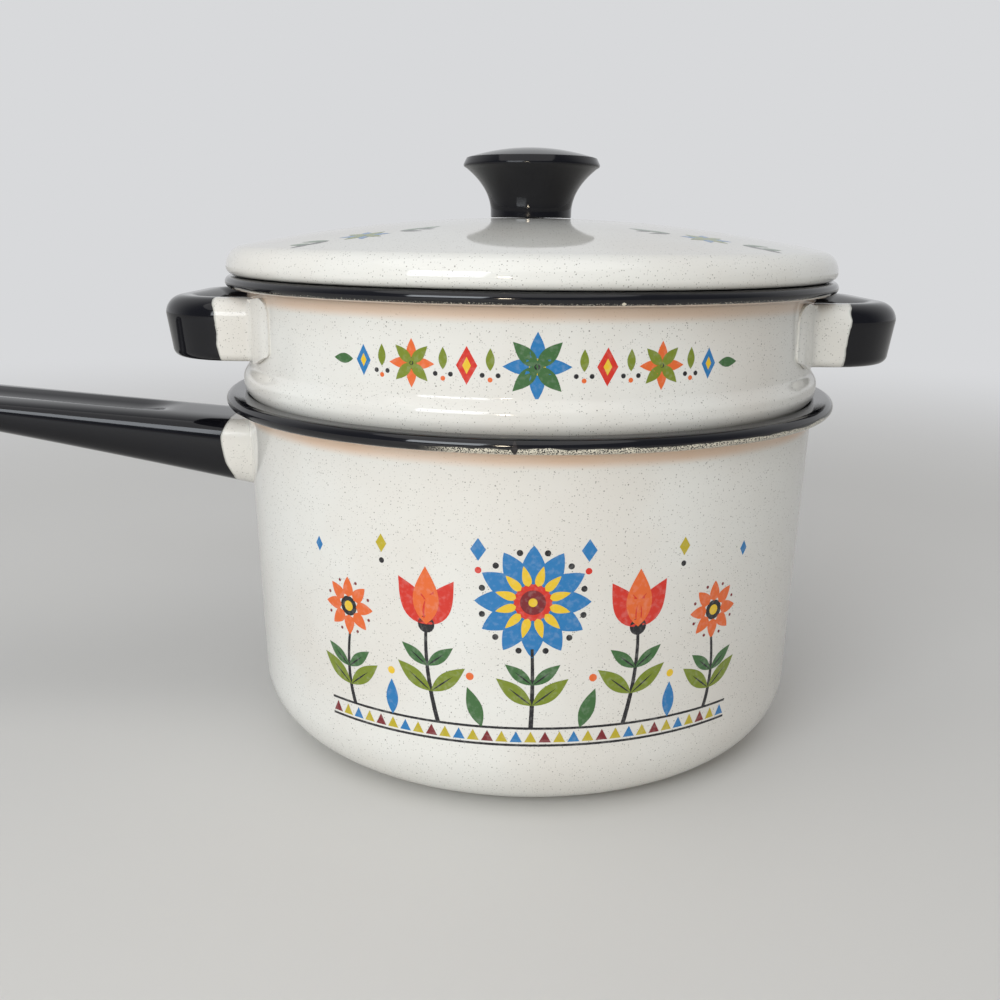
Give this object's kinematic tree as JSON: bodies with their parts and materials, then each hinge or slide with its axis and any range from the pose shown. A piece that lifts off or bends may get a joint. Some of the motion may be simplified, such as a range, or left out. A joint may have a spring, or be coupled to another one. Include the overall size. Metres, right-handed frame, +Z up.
{
  "type": "double boiler",
  "caption": "Enamelled steel double boiler: long-handled saucepan, upper pan with loop ears seated in its mouth, and a domed lid with a moulded knob.",
  "frame": {"origin": "centre of the saucepan's flat base, on the surface it stands on", "axes": "+Z up along the axis of the pans; the long handle points along -X and the ears along +X and -X"},
  "size_m": [0.3666, 0.192, 0.183],
  "materials": {
    "white_enamel": "gloss vitreous enamel, warm white with fine specks",
    "black_enamel": "gloss vitreous enamel",
    "ear_enamel": "gloss vitreous enamel, black dipped over white",
    "knob_plastic": "gloss moulded thermoset",
    "brass": "turned",
    "screw_steel": "plated"
  },
  "bodies": {
    "saucepan": {"pot_body": "white_enamel", "long_handle": "black_enamel"},
    "upper_pan": {"pan_body": "white_enamel", "ear_left": "ear_enamel", "ear_right": "ear_enamel"},
    "lid": {"lid_shell": "white_enamel", "knob": "knob_plastic", "knob_bush": "brass", "knob_screw": "screw_steel", "knob_washer": "screw_steel"}
  },
  "joints": [
    {"name": "upper_pan_lift", "type": "slide", "parent": "saucepan", "child": "upper_pan", "axis": [0, 0, 1], "range_m": [0, 0.09]},
    {"name": "lid_lift", "type": "slide", "parent": "upper_pan", "child": "lid", "axis": [0, 0, 1], "range_m": [0, 0.06]}
  ]
}
